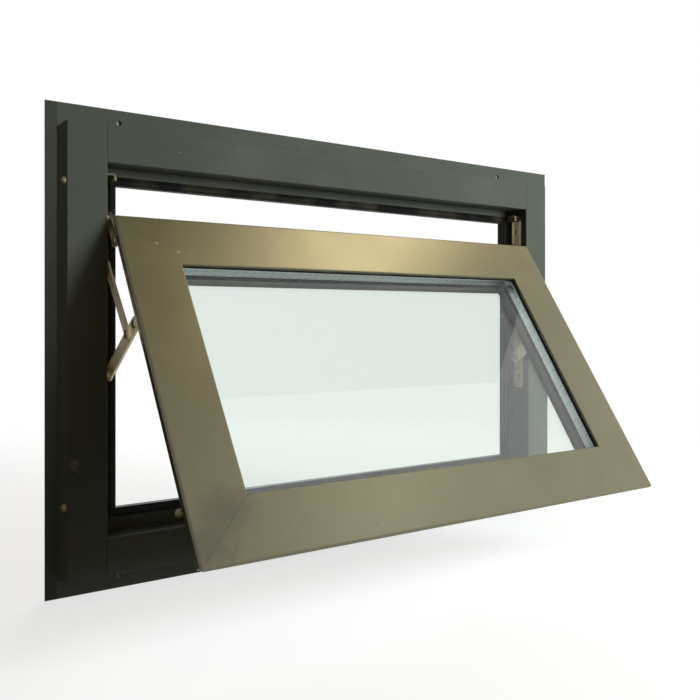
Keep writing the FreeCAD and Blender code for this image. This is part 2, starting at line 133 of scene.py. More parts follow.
class WindowFinishSettings(PropertyGroup):
    """Colours of the window's finishes."""

    frame_coat: FloatVectorProperty(
        name="Frame coat", description="Powder coat of the frame and its fins", subtype="COLOR",
        default=linear("#545851"), min=0, max=1)
    sash_coat: FloatVectorProperty(
        name="Sash coat", description="Powder coat of the sash and its glazing beads", subtype="COLOR",
        default=linear("#655E42"), min=0, max=1)
    dust: FloatVectorProperty(
        name="Dust", description="Workshop dust that lies on the coats", subtype="COLOR",
        default=linear("#B9AD92"), min=0, max=1)
    rubber: FloatVectorProperty(
        name="Rubber", description="Gaskets of the frame and the glass", subtype="COLOR",
        default=linear("#0F0F0E"), min=0, max=1)
    glass: FloatVectorProperty(
        name="Glass", description="Tint that one pane gives to what is seen through it", subtype="COLOR",
        default=linear("#F2F7F4"), min=0, max=1)
    steel: FloatVectorProperty(
        name="Stay steel", description="Rolled strip of the friction stays", subtype="COLOR",
        default=linear("#E6D8B8"), min=0, max=1)
    spacer: FloatVectorProperty(
        name="Spacer bar", description="Mill-finish bar between the panes", subtype="COLOR",
        default=linear("#C9D0D0"), min=0, max=1)
    nylon: FloatVectorProperty(
        name="Nylon", description="Jamb caps", subtype="COLOR",
        default=linear("#CCC7A0"), min=0, max=1)
    # Bumper nylon is a paler copy of the cream nylon: painted light that lifts the bumpers out of the shade
    # they stand in.
    bumper: FloatVectorProperty(
        name="Bumper nylon", description="Bumpers on the sill's stop", subtype="COLOR",
        default=linear("#F8F4DC"), min=0, max=1)
    # Shoe nylon is a darker copy of the cream nylon: painted shade for the shade that the end caps and shoes
    # sit in.
    shoe: FloatVectorProperty(
        name="Shoe nylon", description="End caps and sliding shoes of the stays", subtype="COLOR",
        default=linear("#77745A"), min=0, max=1)


class WindowFixingSettings(PropertyGroup):
    """Sizes of the fixings that scene pieces add to the solids."""

    rivet_dome: FloatProperty(
        name="Rivet dome", description="Height of a rivet's domed head", unit="LENGTH", default=0.9 * MM)
    rivet_radius: FloatProperty(
        name="Rivet head radius", description="Radius of a rivet's domed head", unit="LENGTH",
        default=4.3 * MM)
    screw_radius: FloatProperty(
        name="Screw head radius", description="Radius of a pan head", unit="LENGTH", default=3.5 * MM)
    screw_height: FloatProperty(
        name="Screw head height", description="Height of a pan head", unit="LENGTH", default=1.4 * MM)
    recess_depth: FloatProperty(
        name="Recess depth", description="Depth of a head's cross recess", unit="LENGTH", default=1.0 * MM)
    recess_width: FloatProperty(
        name="Recess width", description="Width of a cross recess", unit="LENGTH", default=1.2 * MM)
    round_steps: IntProperty(
        name="Steps round", description="Facets round a head", default=40, min=12)


class WindowStageSettings(PropertyGroup):
    """Camera, lamps, even light and floor."""

    camera: FloatVectorProperty(
        name="Camera", description="Camera's place", subtype="TRANSLATION", unit="LENGTH",
        default=(-0.60067, -0.87860, 0.27696))
    heading: FloatProperty(
        name="Heading", description="Turn of the level camera to the right", subtype="ANGLE",
        default=math.radians(35.06))
    lens: FloatProperty(
        name="Lens", description="Focal length on a 36 mm sensor", unit="CAMERA", default=42.27)
    shift: FloatVectorProperty(
        name="Shift", description="Shift of the lens that frames the window", size=2,
        default=(0.0045, -0.0406))
    key_power: FloatProperty(
        name="Key power", description="Soft lamp on the right", unit="POWER", default=44.0)
    warm_power: FloatProperty(
        name="Warm power", description="Long warm lamp that the top rail mirrors", unit="POWER", default=6.85)
    rail_power: FloatProperty(
        name="Rail power", description="Small lamp that the bottom rail mirrors", unit="POWER", default=1.4)
    fin_power: FloatProperty(
        name="Fin power", description="Small lamp at the left end for the left fin and the bumpers alone",
        unit="POWER", default=0.42)
    back_power: FloatProperty(
        name="Back power", description="Soft lamp on the wall side", unit="POWER", default=20.0)
    ambient: FloatProperty(
        name="Ambient", description="Even light from all round", default=0.10)
    floor_radius: FloatProperty(
        name="Floor radius", description="Radius of the pale floor", unit="LENGTH", default=1.7)


def scale(size_mm):
    """Texture scale whose features are about size_mm across."""
    return 1 / (size_mm * MM)


def add(tree, kind, inputs=None, **settings):
    """Add a shader node, set its properties, and fill or link its inputs."""
    node = tree.nodes.new("ShaderNode" + kind)
    for name, value in settings.items():
        setattr(node, name, value)
    for key, value in (inputs or {}).items():
        if isinstance(value, bpy.types.NodeSocket):
            tree.links.new(value, node.inputs[key])
        else:
            node.inputs[key].default_value = value
    return node


def opaque(colour):
    """Colour with its alpha of one."""
    return (*colour, 1.0)


def new_material(name):
    """Empty node material and its tree."""
    material = bpy.data.materials.new(name)
    material.use_nodes = True
    material.node_tree.nodes.clear()
    return material, material.node_tree


def show(tree, shader):
    """Link a shader to the material's output."""
    add(tree, "OutputMaterial", {"Surface": shader})


def in_sight(tree):
    """One for rays that show the surround to the eye: straight, in gloss or through glass.

    It is nought once light has scattered on a matt surface.
    """
    path = add(tree, "LightPath").outputs
    straight = add(tree, "Math", {0: path["Is Camera Ray"], 1: path["Is Glossy Ray"]}, operation="MAXIMUM")
    seen = {0: straight.outputs[0], 1: path["Is Transmission Ray"]}
    seen = add(tree, "Math", seen, operation="MAXIMUM").outputs[0]
    unscattered = add(tree, "Math", {0: path["Diffuse Depth"], 1: 0.5}, operation="LESS_THAN").outputs[0]
    return add(tree, "Math", {0: seen, 1: unscattered}, operation="MULTIPLY").outputs[0]


def blot(tree, place, centre, radii, ragged_mm, edge):
    """Patch with a soft, ragged edge: one inside an ellipsoid about centre, falling to nought at its rim."""
    noise = add(tree, "TexNoise", {"Vector": place, "Scale": scale(ragged_mm), "Detail": 3.0})
    centred = {0: noise.outputs["Color"], 1: (0.5, 0.5, 0.5)}
    wander = add(tree, "VectorMath", centred, operation="SUBTRACT").outputs[0]
    reach = (2 * ragged_mm * MM,) * 3
    moved = add(tree, "VectorMath", {0: wander, 1: reach, 2: place}, operation="MULTIPLY_ADD").outputs[0]
    offset = add(tree, "VectorMath", {0: moved, 1: centre}, operation="SUBTRACT").outputs[0]
    share = add(tree, "VectorMath", {0: offset, 1: radii}, operation="DIVIDE").outputs[0]
    far = add(tree, "VectorMath", {0: share}, operation="LENGTH").outputs["Value"]
    ends = {"Value": far, "From Min": 1.0, "From Max": 1.0 - edge, "To Min": 0.0, "To Max": 1.0}
    return add(tree, "MapRange", ends, interpolation_type="SMOOTHSTEP").outputs["Result"]


def powder_coat(name, colour, dust, shine, marks):
    """Polyester powder coat, sprayed and baked: satin, with a fine orange peel, faint dust and a few marks.

    shine has the least and most roughness and the specular level. marks are (centre, radii, ragged size in
    mm, edge, colour, strength), in the model's own coordinates.
    """
    material, tree = new_material(name)
    place = add(tree, "TexCoord").outputs["Object"]
    cloud = add(tree, "TexNoise", {"Vector": place, "Scale": scale(110), "Detail": 4.0}).outputs["Fac"]
    grain = add(tree, "TexNoise", {"Vector": place, "Scale": scale(2.2), "Detail": 2.0}).outputs["Fac"]
    darker = tuple(0.84 * c for c in colour)
    tone = add(tree, "Mix", {0: cloud, 6: opaque(darker), 7: opaque(colour)}, data_type="RGBA").outputs[2]
    speck = {"Value": grain, "From Min": 0.30, "From Max": 0.70, "To Min": 0.94, "To Max": 1.06}
    speck = add(tree, "MapRange", speck).outputs["Result"]
    tone = add(tree, "VectorMath", {0: tone, "Scale": speck}, operation="SCALE").outputs[0]
    film = {"Value": cloud, "From Min": 0.42, "From Max": 0.72, "To Min": 0.0, "To Max": 0.05}
    film = add(tree, "MapRange", film, interpolation_type="SMOOTHSTEP").outputs["Result"]
    tone = add(tree, "Mix", {0: film, 6: tone, 7: opaque(dust)}, data_type="RGBA").outputs[2]
    fleck_place = add(tree, "TexVoronoi", {"Vector": place, "Scale": scale(26)}, feature="F1")
    fleck = {"Value": fleck_place.outputs["Distance"], "From Min": 0.035, "From Max": 0.02}
    fleck = add(tree, "MapRange", fleck).outputs["Result"]
    fleck = add(tree, "Math", {0: fleck, 1: 0.35}, operation="MULTIPLY").outputs[0]
    tone = add(tree, "Mix", {0: fleck, 6: tone, 7: opaque(dust)}, data_type="RGBA").outputs[2]
    for centre, radii, ragged, edge, mark_colour, strength in marks:
        mask = blot(tree, place, centre, radii, ragged, edge)
        mask = add(tree, "Math", {0: mask, 1: strength}, operation="MULTIPLY").outputs[0]
        tone = add(tree, "Mix", {0: mask, 6: tone, 7: opaque(mark_colour)}, data_type="RGBA").outputs[2]
    rough = {"Value": cloud, "From Min": 0.3, "From Max": 0.7}
    rough.update({"To Min": shine["low"], "To Max": shine["high"]})
    rough = add(tree, "MapRange", rough).outputs["Result"]
    bump = add(tree, "Bump", {"Height": grain, "Strength": 0.10, "Distance": 0.10 * MM}).outputs["Normal"]
    shader = add(tree, "BsdfPrincipled", {
        "Base Color": tone, "Roughness": rough, "Normal": bump, "Specular IOR Level": shine["specular"]})
    show(tree, shader.outputs["BSDF"])
    return material


def rubber(name, colour, dust):
    """Extruded EPDM: dull black with a faint grey bloom and fine grain."""
    material, tree = new_material(name)
    place = add(tree, "TexCoord").outputs["Object"]
    bloom = add(tree, "TexNoise", {"Vector": place, "Scale": scale(35), "Detail": 4.0}).outputs["Fac"]
    grain = add(tree, "TexNoise", {"Vector": place, "Scale": scale(0.9), "Detail": 2.0}).outputs["Fac"]
    share = {"Value": bloom, "From Min": 0.45, "From Max": 0.8, "To Min": 0.0, "To Max": 0.10}
    share = add(tree, "MapRange", share).outputs["Result"]
    tone = add(tree, "Mix", {0: share, 6: opaque(colour), 7: opaque(dust)}, data_type="RGBA").outputs[2]
    bump = add(tree, "Bump", {"Height": grain, "Strength": 0.25, "Distance": 0.08 * MM}).outputs["Normal"]
    shader = add(tree, "BsdfPrincipled", {
        "Base Color": tone, "Roughness": 0.72, "Normal": bump, "Specular IOR Level": 0.2})
    show(tree, shader.outputs["BSDF"])
    return material


def float_glass(name, colour):
    """Clear float glass: flat and polished, faintly green, with wiping smears that only show at a slant."""
    material, tree = new_material(name)
    place = add(tree, "TexCoord").outputs["Object"]
    smear = {"Vector": place, "Scale": scale(120), "Detail": 5.0, "Distortion": 1.2}
    smear = add(tree, "TexNoise", smear).outputs["Fac"]
    rough = {"Value": smear, "From Min": 0.55, "From Max": 0.85, "To Min": 0.0, "To Max": 0.03}
    rough = add(tree, "MapRange", rough, interpolation_type="SMOOTHSTEP").outputs["Result"]
    shader = add(tree, "BsdfPrincipled", {
        "Base Color": opaque(colour), "Roughness": rough, "IOR": 1.52, "Transmission Weight": 1.0})
    show(tree, shader.outputs["BSDF"])
    return material


def rolled_steel(name, colour, direction, low=0.26, high=0.44):
    """Stainless strip: rolled and lightly polished, so fine streaks run along direction and blur its shine.

    low and high are the least and the most roughness along the streaks.
    """
    material, tree = new_material(name)
    place = add(tree, "TexCoord").outputs["Object"]
    turn = math.atan2(direction[1], direction[2])
    along = add(tree, "Mapping", {"Vector": place, "Rotation": (turn, 0, 0)}).outputs["Vector"]
    drawn = add(tree, "Mapping", {"Vector": along, "Scale": (1, 1, 0.03)}).outputs["Vector"]
    streak = add(tree, "TexNoise", {"Vector": drawn, "Scale": scale(1.1), "Detail": 3.0}).outputs["Fac"]
    stain = add(tree, "TexNoise", {"Vector": place, "Scale": scale(18), "Detail": 4.0}).outputs["Fac"]
    dull = tuple(0.62 * c for c in colour)
    share = {"Value": stain, "From Min": 0.35, "From Max": 0.75, "To Min": 0.0, "To Max": 0.55}
    share = add(tree, "MapRange", share).outputs["Result"]
    tone = add(tree, "Mix", {0: share, 6: opaque(colour), 7: opaque(dull)}, data_type="RGBA").outputs[2]
    rough = {"Value": streak, "From Min": 0.3, "From Max": 0.7, "To Min": low, "To Max": high}
    rough = add(tree, "MapRange", rough).outputs["Result"]
    bump = add(tree, "Bump", {"Height": streak, "Strength": 0.12, "Distance": 0.05 * MM}).outputs["Normal"]
    shader = add(tree, "BsdfPrincipled", {
        "Base Color": tone, "Metallic": 1.0, "Roughness": rough, "Normal": bump})
    show(tree, shader.outputs["BSDF"])
    return material


def spacer_metal(name, colour):
    """Mill-finish aluminium strip, roll-formed: pale, with two rows of breathing holes along its inner face.

    The holes are drawn 1.6 mm across every 12 mm, larger than the real pinholes, so that they show.
    """
    material, tree = new_material(name)
    along = add(tree, "UVMap", uv_map="along").outputs["UV"]
    parts = add(tree, "SeparateXYZ", {"Vector": along})
    half_pitch, lane_offset = 6 * MM, 3 * MM
    hole_radius, soft = 0.8 * MM, 0.1 * MM
    cell = add(tree, "Math", {0: parts.outputs["X"], 1: half_pitch}, operation="PINGPONG").outputs[0]
    lane = add(tree, "Math", {0: parts.outputs["Y"]}, operation="ABSOLUTE").outputs[0]
    lane = add(tree, "Math", {0: lane, 1: lane_offset}, operation="SUBTRACT").outputs[0]
    spot = add(tree, "CombineXYZ", {"X": cell, "Y": lane}).outputs["Vector"]
    far = add(tree, "VectorMath", {0: spot}, operation="LENGTH").outputs["Value"]
    hole = {"Value": far, "From Min": hole_radius + soft, "From Max": hole_radius - soft}
    hole = add(tree, "MapRange", hole).outputs["Result"]
    # The holes are painted as dark spots: painted shade for the hollow behind each.
    dark = tuple(0.12 * c for c in colour)
    tone = add(tree, "Mix", {0: hole, 6: opaque(colour), 7: opaque(dark)}, data_type="RGBA").outputs[2]
    place = add(tree, "TexCoord").outputs["Object"]
    grain = add(tree, "TexNoise", {"Vector": place, "Scale": scale(7), "Detail": 4.0}).outputs["Fac"]
    rough = {"Value": grain, "From Min": 0.3, "From Max": 0.7, "To Min": 0.30, "To Max": 0.45}
    rough = add(tree, "MapRange", rough).outputs["Result"]
    shader = add(tree, "BsdfPrincipled", {"Base Color": tone, "Metallic": 1.0, "Roughness": rough})
    show(tree, shader.outputs["BSDF"])
    return material


def moulded_nylon(name, colour, dust):
    """Injection-moulded nylon: waxy and slightly cloudy, dulled in places by handling."""
    material, tree = new_material(name)
    place = add(tree, "TexCoord").outputs["Object"]
    cloud = add(tree, "TexNoise", {"Vector": place, "Scale": scale(5), "Detail": 3.0}).outputs["Fac"]
    dull = tuple(0.56 * own + 0.30 * grey for own, grey in zip(colour, dust))
    tone = add(tree, "Mix", {0: cloud, 6: opaque(dull), 7: opaque(colour)}, data_type="RGBA").outputs[2]
    rough = {"Value": cloud, "From Min": 0.3, "From Max": 0.7, "To Min": 0.38, "To Max": 0.55}
    rough = add(tree, "MapRange", rough).outputs["Result"]
    shader = add(tree, "BsdfPrincipled", {
        "Base Color": tone, "Roughness": rough, "IOR": 1.53,
        "Subsurface Weight": 0.15, "Subsurface Scale": 1.5 * MM})
    show(tree, shader.outputs["BSDF"])
    return material


def paint(nodes, material):
    """Give solids a finish."""
    for name in nodes:
        NODES[name].material_slots[0].material = material


def piece(name, points, faces, material, slot_name):
    """Mesh piece that rides on the window's body, its faces turned outwards by the sign of its volume."""
    points = np.asarray(points, float).reshape(-1, 3)
    corners = [points[np.array([f[i] for f in faces])] for i in range(3)]
    volume = np.einsum("ij,ij->i", corners[0], np.cross(corners[1], corners[2])).sum()
    if volume < 0:
        faces = [f[::-1] for f in faces]
    mesh = bpy.data.meshes.new(name)
    mesh.from_pydata(points.tolist(), [], faces)
    mesh.polygons.foreach_set("use_smooth", np.ones(len(faces), bool))
    mesh.set_sharp_from_angle(angle=SHARP_ANGLE)
    mesh.materials.append(material)
    mesh.update()
    made = bpy.data.objects.new(name, mesh)
    bpy.context.scene.collection.objects.link(made)
    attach(made, BODY)
    return made


def closed_grid(rows, columns):
    """Quads of a grid whose last row joins the first and whose last column joins the first."""
    index = np.arange(rows * columns).reshape(rows, columns)
    down = np.roll(index, -1, 0)
    return np.stack([index, down, np.roll(down, -1, 1), np.roll(index, -1, 1)], -1).reshape(-1, 4)


def ring(profile, corner):
    """Profile carried round a rectangle with mitred corners.

    profile is an array of (w, t) pairs, w measured from the rectangle's edge. corner(sx, sz, w, t) places
    the section at the corner on side sx across and sz up.
    """
    w, t = np.asarray(profile).T
    points = np.stack([corner(sx, sz, w, t) for sx, sz in ((-1, -1), (1, -1), (1, 1), (-1, 1))])
    return points, closed_grid(4, len(w)).tolist()


def arc(centre, radii, start_deg, end_deg, steps):
    """Points on an ellipse: centre + radii * (cos a, sin a), a from start to end."""
    angle = np.radians(np.linspace(start_deg, end_deg, steps))
    return np.stack([centre[0] + radii[0] * np.cos(angle), centre[1] + radii[1] * np.sin(angle)], -1)


def sash_corner(sx, sz, w, t):
    """Corner section of a ring in the sash, w in from the sash's edge."""
    x = sx * (SASH.half - w)
    s = w if sz > 0 else SASH.height - w
    return SASH.place(x, s, t)


def heads(profile, seats, axes, steps, recess=None):
    """Turned heads, one on each seat: radius and height along a profile, turned about the seat's axis.

    A point at angle a is seat + r (cos a) u + r (sin a) v + h axis. recess(x, y) gives the depth that a drive
    recess takes from the height at a point of the head.
    """
    radius, height = np.asarray(profile).T
    angle = np.linspace(0, 2 * math.pi, steps, endpoint=False)
    x = radius[:, None] * np.cos(angle)
    y = radius[:, None] * np.sin(angle)
    h = np.repeat(height[:, None], steps, 1)
    crown = height[-1]
    if recess:
        h = h - recess(x, y)
        crown = crown - recess(np.zeros(1), np.zeros(1))[0]
    local = np.concatenate([np.stack([x, y, h], -1).reshape(-1, 3), [[0, 0, crown]]])
    axes = np.asarray(axes, float)
    u = np.cross(axes, np.where(np.abs(axes[:, :1]) > 0.9, [[0, 0, 1.0]], [[1.0, 0, 0]]))
    u /= np.linalg.norm(u, axis=1)[:, None]
    basis = np.stack([u, np.cross(axes, u), axes], 1)
    points = np.asarray(seats)[:, None, :] + np.einsum("pk,mkc->mpc", local, basis)
    rows = len(radius)
    index = np.arange(rows * steps).reshape(rows, steps)
    turned = np.roll(index, -1, 1)
    quads = np.stack([index[:-1], turned[:-1], turned[1:], index[1:]], -1).reshape(-1, 4)
    tip = np.stack([index[-1], turned[-1], np.full(steps, rows * steps)], -1)
    one = [*quads.tolist(), *tip.tolist(), index[0][::-1].tolist()]
    step = len(local)
    faces = [[i + k * step for i in f] for k in range(len(points)) for f in one]
    return points.reshape(-1, 3), faces


def dome_profile(radius, height, rim):
    """Section of a low dome on a short rim: a quarter ellipse from the rim to the crown."""
    last_deg, steps, tip = 84, 8, 0.04
    curve = arc((0, rim), (radius, height - rim), 0, last_deg, steps)
    return np.concatenate([[[radius, 0]], curve, [[radius * tip, height]]])


def pivots(node):
    """Middles of a stay's rivets, as (y, z), with the x of each end.

    Corners that lie closer together than two rivets ever do, seen along x, belong to one rivet.
    """
    apart = 11 * MM
    points = points_of(node)
    found = []
    while len(points):
        near = np.linalg.norm(points[:, 1:] - points[0, 1:], axis=1) < apart
        group = points[near]
        middle = (group.min(0) + group.max(0)) / 2
        found.append((middle[1], middle[2], group[:, 0].min(), group[:, 0].max()))
        points = points[~near]
    return found


def long_axis(node):
    """Direction in which a solid is longest: the first principal axis of its corners."""
    corners = np.unique(np.round(points_of(node), 6), axis=0)
    return np.linalg.svd(corners - corners.mean(0), full_matrices=False)[2][0]


class WINDOW_OT_frame_coat(Operator):
    """Coat the frame's extrusions and the nailing fins"""
    bl_idname = "window.frame_coat"
    bl_label = "Coat the frame"

    def execute(self, context):
        look = context.scene.window_finish
        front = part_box("frame_left_jamb")[0].y
        scuff = linear("#8E8A7C")
        large, small = (-0.3478, front, 0.131), (-0.3445, front, 0.124)
        large_radii, small_radii = (0.0050, 0.004, 0.0075), (0.0022, 0.004, 0.0030)
        marks = [
            (large, large_radii, 2.5, 0.35, scuff, 0.75),
            (small, small_radii, 1.5, 0.5, scuff, 0.5),
        ]
        shine = {"low": 0.46, "high": 0.56, "specular": 0.12}
        coat = powder_coat("powder_coat_charcoal", look.frame_coat, look.dust, shine, marks)
        members = ("frame_head", "frame_sill", "frame_left_jamb", "frame_right_jamb")
        fins = ("head_fin", "sill_fin", "left_fin", "right_fin")
        paint(members + fins, coat)
        return {"FINISHED"}


class WINDOW_OT_sash_coat(Operator):
    """Coat the sash's extrusions and the glazing beads"""
    bl_idname = "window.sash_coat"
    bl_label = "Coat the sash"

    def execute(self, context):
        look = context.scene.window_finish
        grease = tuple(0.3 * c for c in look.sash_coat)
        chalk = linear("#D8CFB8")
        # Places on the outer face as (x, s), with a smudge's radius.
        smudges = ((-0.272, 0.335, 0.044), (-0.296, 0.362, 0.036))
        specks = ((-0.270, 0.0355), (-0.248, 0.0455))
        speck_radii = (3 * MM,) * 3
        marks = []
        for x, s, size in smudges:
            radii = (size, 0.7 * size, 0.8 * size)
            marks.append((tuple(SASH.place(x, s, 0.0)), radii, 14.0, 0.9, grease, 0.7))
        for x, s in specks:
            marks.append((tuple(SASH.place(x, s, 0.0)), speck_radii, 0.9, 0.9, chalk, 0.3))
        shine = {"low": 0.33, "high": 0.40, "specular": 0.85}
        coat = powder_coat("powder_coat_bronze", look.sash_coat, look.dust, shine, marks)
        members = ("sash_top_rail", "sash_bottom_rail", "sash_left_stile", "sash_right_stile")
        beads = tuple("glazing_bead_" + side for side in ("top", "bottom", *SIDES))
        paint(members + beads, coat)
        return {"FINISHED"}


class WINDOW_OT_panes(Operator):
    """Give the two panes their glass"""
    bl_idname = "window.panes"
    bl_label = "Glaze the sash"

    def execute(self, context):
        glass = float_glass("float_glass", context.scene.window_finish.glass)
        paint(("outer_glass_pane", "inner_glass_pane"), glass)
        return {"FINISHED"}


class WINDOW_OT_gaskets(Operator):
    """Make the weather gasket on the frame's stop and the two glazing gaskets"""
    bl_idname = "window.gaskets"
    bl_label = "Make the gaskets"

    def execute(self, context):
        look = context.scene.window_finish
        black = rubber("epdm_rubber", look.rubber, look.dust)
        self.weather_gasket(black)
        self.glazing_gaskets(black)
        return {"FINISHED"}

    def weather_gasket(self, black):
        """Flat foot with a bulb's arc on it, carried round the stop.

        Across the foot the section is a share of the flange, and its height is in millimetres.
        """
        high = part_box("frame_gasket")[1]
        edge = {-1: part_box("frame_left_jamb")[1].x, 1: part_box("frame_right_jamb")[0].x}
        level = {-1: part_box("frame_sill")[1].z, 1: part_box("frame_head")[0].z}
        flange = high.x - edge[1]
        bulb = np.concatenate([
            [(0, 0), (0, 0.7), (0.05, 0.9), (0.15, 0.9)],
            arc((0.48, 0.9), (0.31, 2.1), 180, 0, 11),
            [(0.85, 0.9), (0.95, 0.9), (1, 0.6), (1, 0)],
        ]) * (flange, MM)

        def stop_corner(sx, sz, w, t):
            """Corner section of a ring on the stop, w out from the frame's opening."""
            return np.stack([edge[sx] + sx * w, high.y - t, level[sz] + sz * w], -1)

        seal = piece("weather_gasket", *ring(bulb, stop_corner), black, "epdm_rubber")
        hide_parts("frame_gasket")

    def glazing_gaskets(self, black):
        """Wedges between metal and glass, each with a rounded lip past the edge of its rail or bead."""
        shoulder, chamfer, corner = 1.2 * MM, 0.4 * MM, 0.3 * MM
        for name, lip in (("outer_glazing_gasket", 0.9 * MM), ("inner_glazing_gasket", 1.8 * MM)):
            first, last = SASH.span(name)
            metal, glass = (first[2], last[2]) if name.startswith("outer") else (last[2], first[2])
            thick = glass - metal
            outer = SASH.half - last[0]
            inner = SASH.face + lip
            wedge = np.array([
                (outer, metal), (inner - shoulder, metal), (inner - chamfer, metal + 0.15 * thick),
                (inner, metal + 0.45 * thick), (inner, metal + 0.85 * thick), (inner - corner, glass),
                (outer, glass),
            ])
            seal = piece(name.replace("gasket", "wedge"), *ring(wedge, sash_corner), black, "epdm_rubber")
            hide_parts(name)


class WINDOW_OT_spacer(Operator):
    """Make the spacer bar between the panes"""
    bl_idname = "window.spacer"
    bl_label = "Make the spacer bar"

    def execute(self, context):
        first, last = SASH.span("glazing_spacer")
        edge = SASH.half - last[0]
        front, back = first[2], last[2]
        middle = (front + back) / 2
        setback, bevel, seam = 0.5 * MM, 0.6 * MM, 0.35 * MM
        inner = SASH.face - setback
        taper, shoulder = 2 * MM, edge + 2.5 * MM
        section = np.array([
            (edge, front + taper), (shoulder, front), (inner - bevel, front), (inner, front + bevel),
            (inner, middle - seam), (inner - seam, middle), (inner, middle + seam),
            (inner, back - bevel), (inner - bevel, back), (shoulder, back), (edge, back - taper),
        ])
        points, faces = ring(section, sash_corner)
        metal = spacer_metal("mill_aluminium", context.scene.window_finish.spacer)
        bar = piece("spacer_bar", points, faces, metal, "spacer_aluminium")
        mesh = bar.data
        corner = np.empty(len(mesh.loops), int)
        mesh.loops.foreach_get("vertex_index", corner)
        offset = points.reshape(-1, 3)[corner] - SASH.origin
        # The ring's sides are bottom, right, top and left in turn, so every second one is level.
        level = np.repeat([True, False, True, False], 4 * len(section))
        run = np.where(level, offset @ SASH.across, offset @ SASH.down)
        uv = mesh.uv_layers.new(name="along")
        uv.data.foreach_set("uv", np.stack([run, offset @ SASH.inward - middle], -1).ravel())
        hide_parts("glazing_spacer")
        return {"FINISHED"}


class WINDOW_OT_stays(Operator):
    """Finish the friction stays and dome their rivets"""
    bl_idname = "window.stays"
    bl_label = "Finish the stays"

    def execute(self, context):
        look, size = context.scene.window_finish, context.scene.window_fixings
        # Share of the steel's colour, with the least and the most roughness.
        # Top arms and sash bars get a darker share of the steel as painted shade, for the shade they stand in.
        tumbled, painted_shade = (1.0, 0.5, 0.65), (0.42, 0.3, 0.45)
        strips = {
            "track": tumbled,
            "top_arm": painted_shade,
            "sash_bar": painted_shade,
            "support_arm": tumbled,
            "link_arm": tumbled,
        }
        for shape, (share, low, high) in strips.items():
            colour = tuple(share * c for c in look.steel)
            steel = rolled_steel("rolled_steel_" + shape, colour, long_axis("left_stay_" + shape), low, high)
            paint([side + "_stay_" + shape for side in SIDES], steel)
        plain = rolled_steel("turned_steel", tuple(0.5 * c for c in look.steel), (0, 0, 1))
        paint([side + "_stay_rivets" for side in SIDES], plain)
        rim = 0.15 * MM
        section = dome_profile(size.rivet_radius, size.rivet_dome, rim)
        for side in SIDES:
            ends = pivots(side + "_stay_rivets")
            seats = np.array([(x, y, z) for y, z, low, high in ends for x in (low, high)])
            axes = np.array([(way, 0, 0) for _ in ends for way in (-1, 1)])
            # Heads that lie within the track have no room for a dome.
            mouth = min(abs(corner.x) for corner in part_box(side + "_stay_track"))
            free = np.abs(seats[:, 0]) < mouth
            made = heads(section, seats[free], axes[free], size.round_steps)
            piece(side + "_rivet_domes", *made, plain, "stay_steel")
        return {"FINISHED"}


class WINDOW_OT_nylon(Operator):
    """Finish the jamb caps, the bumpers and the stays' end caps and sliding shoes"""
    bl_idname = "window.nylon"
    bl_label = "Finish the nylon trim"

    def execute(self, context):
        look = context.scene.window_finish
        cream = moulded_nylon("moulded_nylon_cream", look.nylon, look.dust)
        paint(("left_jamb_caps", "right_jamb_caps"), cream)
        # The bumpers' paler nylon is painted light, for the shade they stand in.
        pale = moulded_nylon("moulded_nylon_lit", look.bumper, look.dust)
        paint(("sill_bumpers",), pale)
        # The end caps and shoes take a darker copy of the nylon as painted shade.
        shaded = moulded_nylon("moulded_nylon_olive", look.shoe, look.dust)
        paint([side + "_stay_" + shape for side in SIDES for shape in ("end_cap", "slider")], shaded)
        return {"FINISHED"}


class WINDOW_OT_handle(Operator):
    """Coat the handle and its keeper"""
    bl_idname = "window.handle"
    bl_label = "Coat the handle"

    def execute(self, context):
        look = context.scene.window_finish
        shine = {"low": 0.34, "high": 0.42, "specular": 0.5}
        coat = powder_coat("powder_coat_handle", look.sash_coat, look.dust, shine, [])
        paint(("handle_base", "handle_lever", "handle_keeper"), coat)
        return {"FINISHED"}


